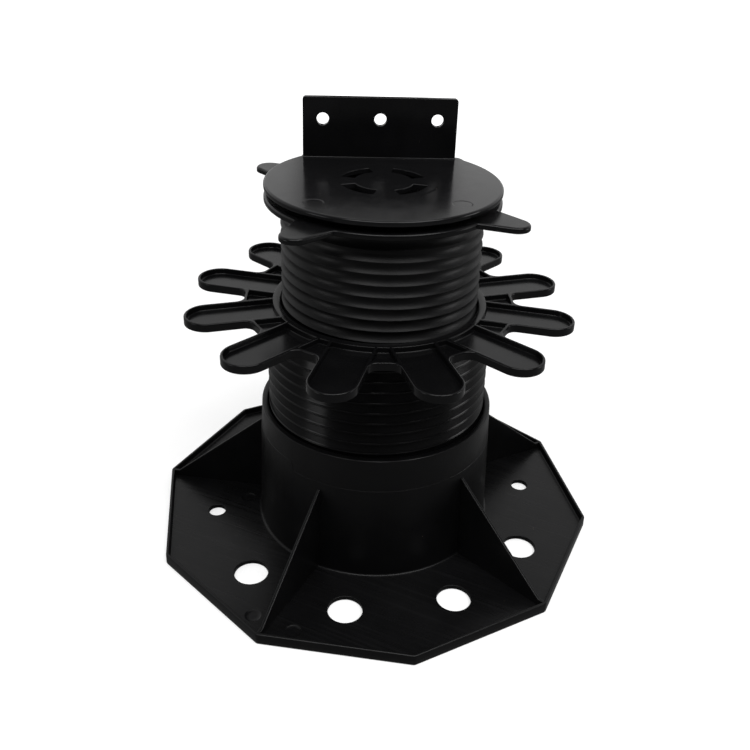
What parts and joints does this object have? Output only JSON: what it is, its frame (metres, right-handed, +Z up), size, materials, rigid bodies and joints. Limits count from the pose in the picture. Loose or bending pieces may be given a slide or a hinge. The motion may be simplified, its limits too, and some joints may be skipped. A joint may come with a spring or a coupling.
{
  "type": "decking pedestal",
  "caption": "Height-adjustable plastic decking support: broad base with a threaded collar, coupler with a finger wheel, threaded upper tube with turning tabs, and a joist head.",
  "frame": {"origin": "on the axis of the pedestal, at the underside of the base", "axes": "+Z up along the axis, +X and -X towards the two small holes of the base, +Y towards the corner of the base that the head's upright plate stands nearest"},
  "size_m": [0.1998, 0.21, 0.1953],
  "materials": {
    "base": "satin moulded polypropylene",
    "coupler": "satin moulded polypropylene",
    "upper_tube": "satin moulded polypropylene",
    "head": "satin moulded polypropylene"
  },
  "bodies": {
    "base": {"base": "base"},
    "coupler": {"coupler": "coupler"},
    "upper_tube": {"upper_tube": "upper_tube"},
    "head": {"head": "head"}
  },
  "joints": [
    {"name": "lift", "type": "slide", "parent": "base", "child": "head", "axis": [0, 0, 1], "range_m": [-0.0471, 0.0026]},
    {"name": "wheel_turn", "type": "hinge", "parent": "head", "child": "coupler", "pos_m": [0, 0, 0], "axis": [0, 0, 1], "range_deg": [-3384, 180]},
    {"name": "tube_turn", "type": "hinge", "parent": "head", "child": "upper_tube", "pos_m": [0, 0, 0], "axis": [0, 0, 1], "range_deg": [-3390, 186]}
  ],
  "couplings": [
    {"joint": "lift", "follows": "wheel_turn", "m_per_rad": 0.00079577},
    {"joint": "tube_turn", "follows": "wheel_turn", "ratio": 1}
  ]
}
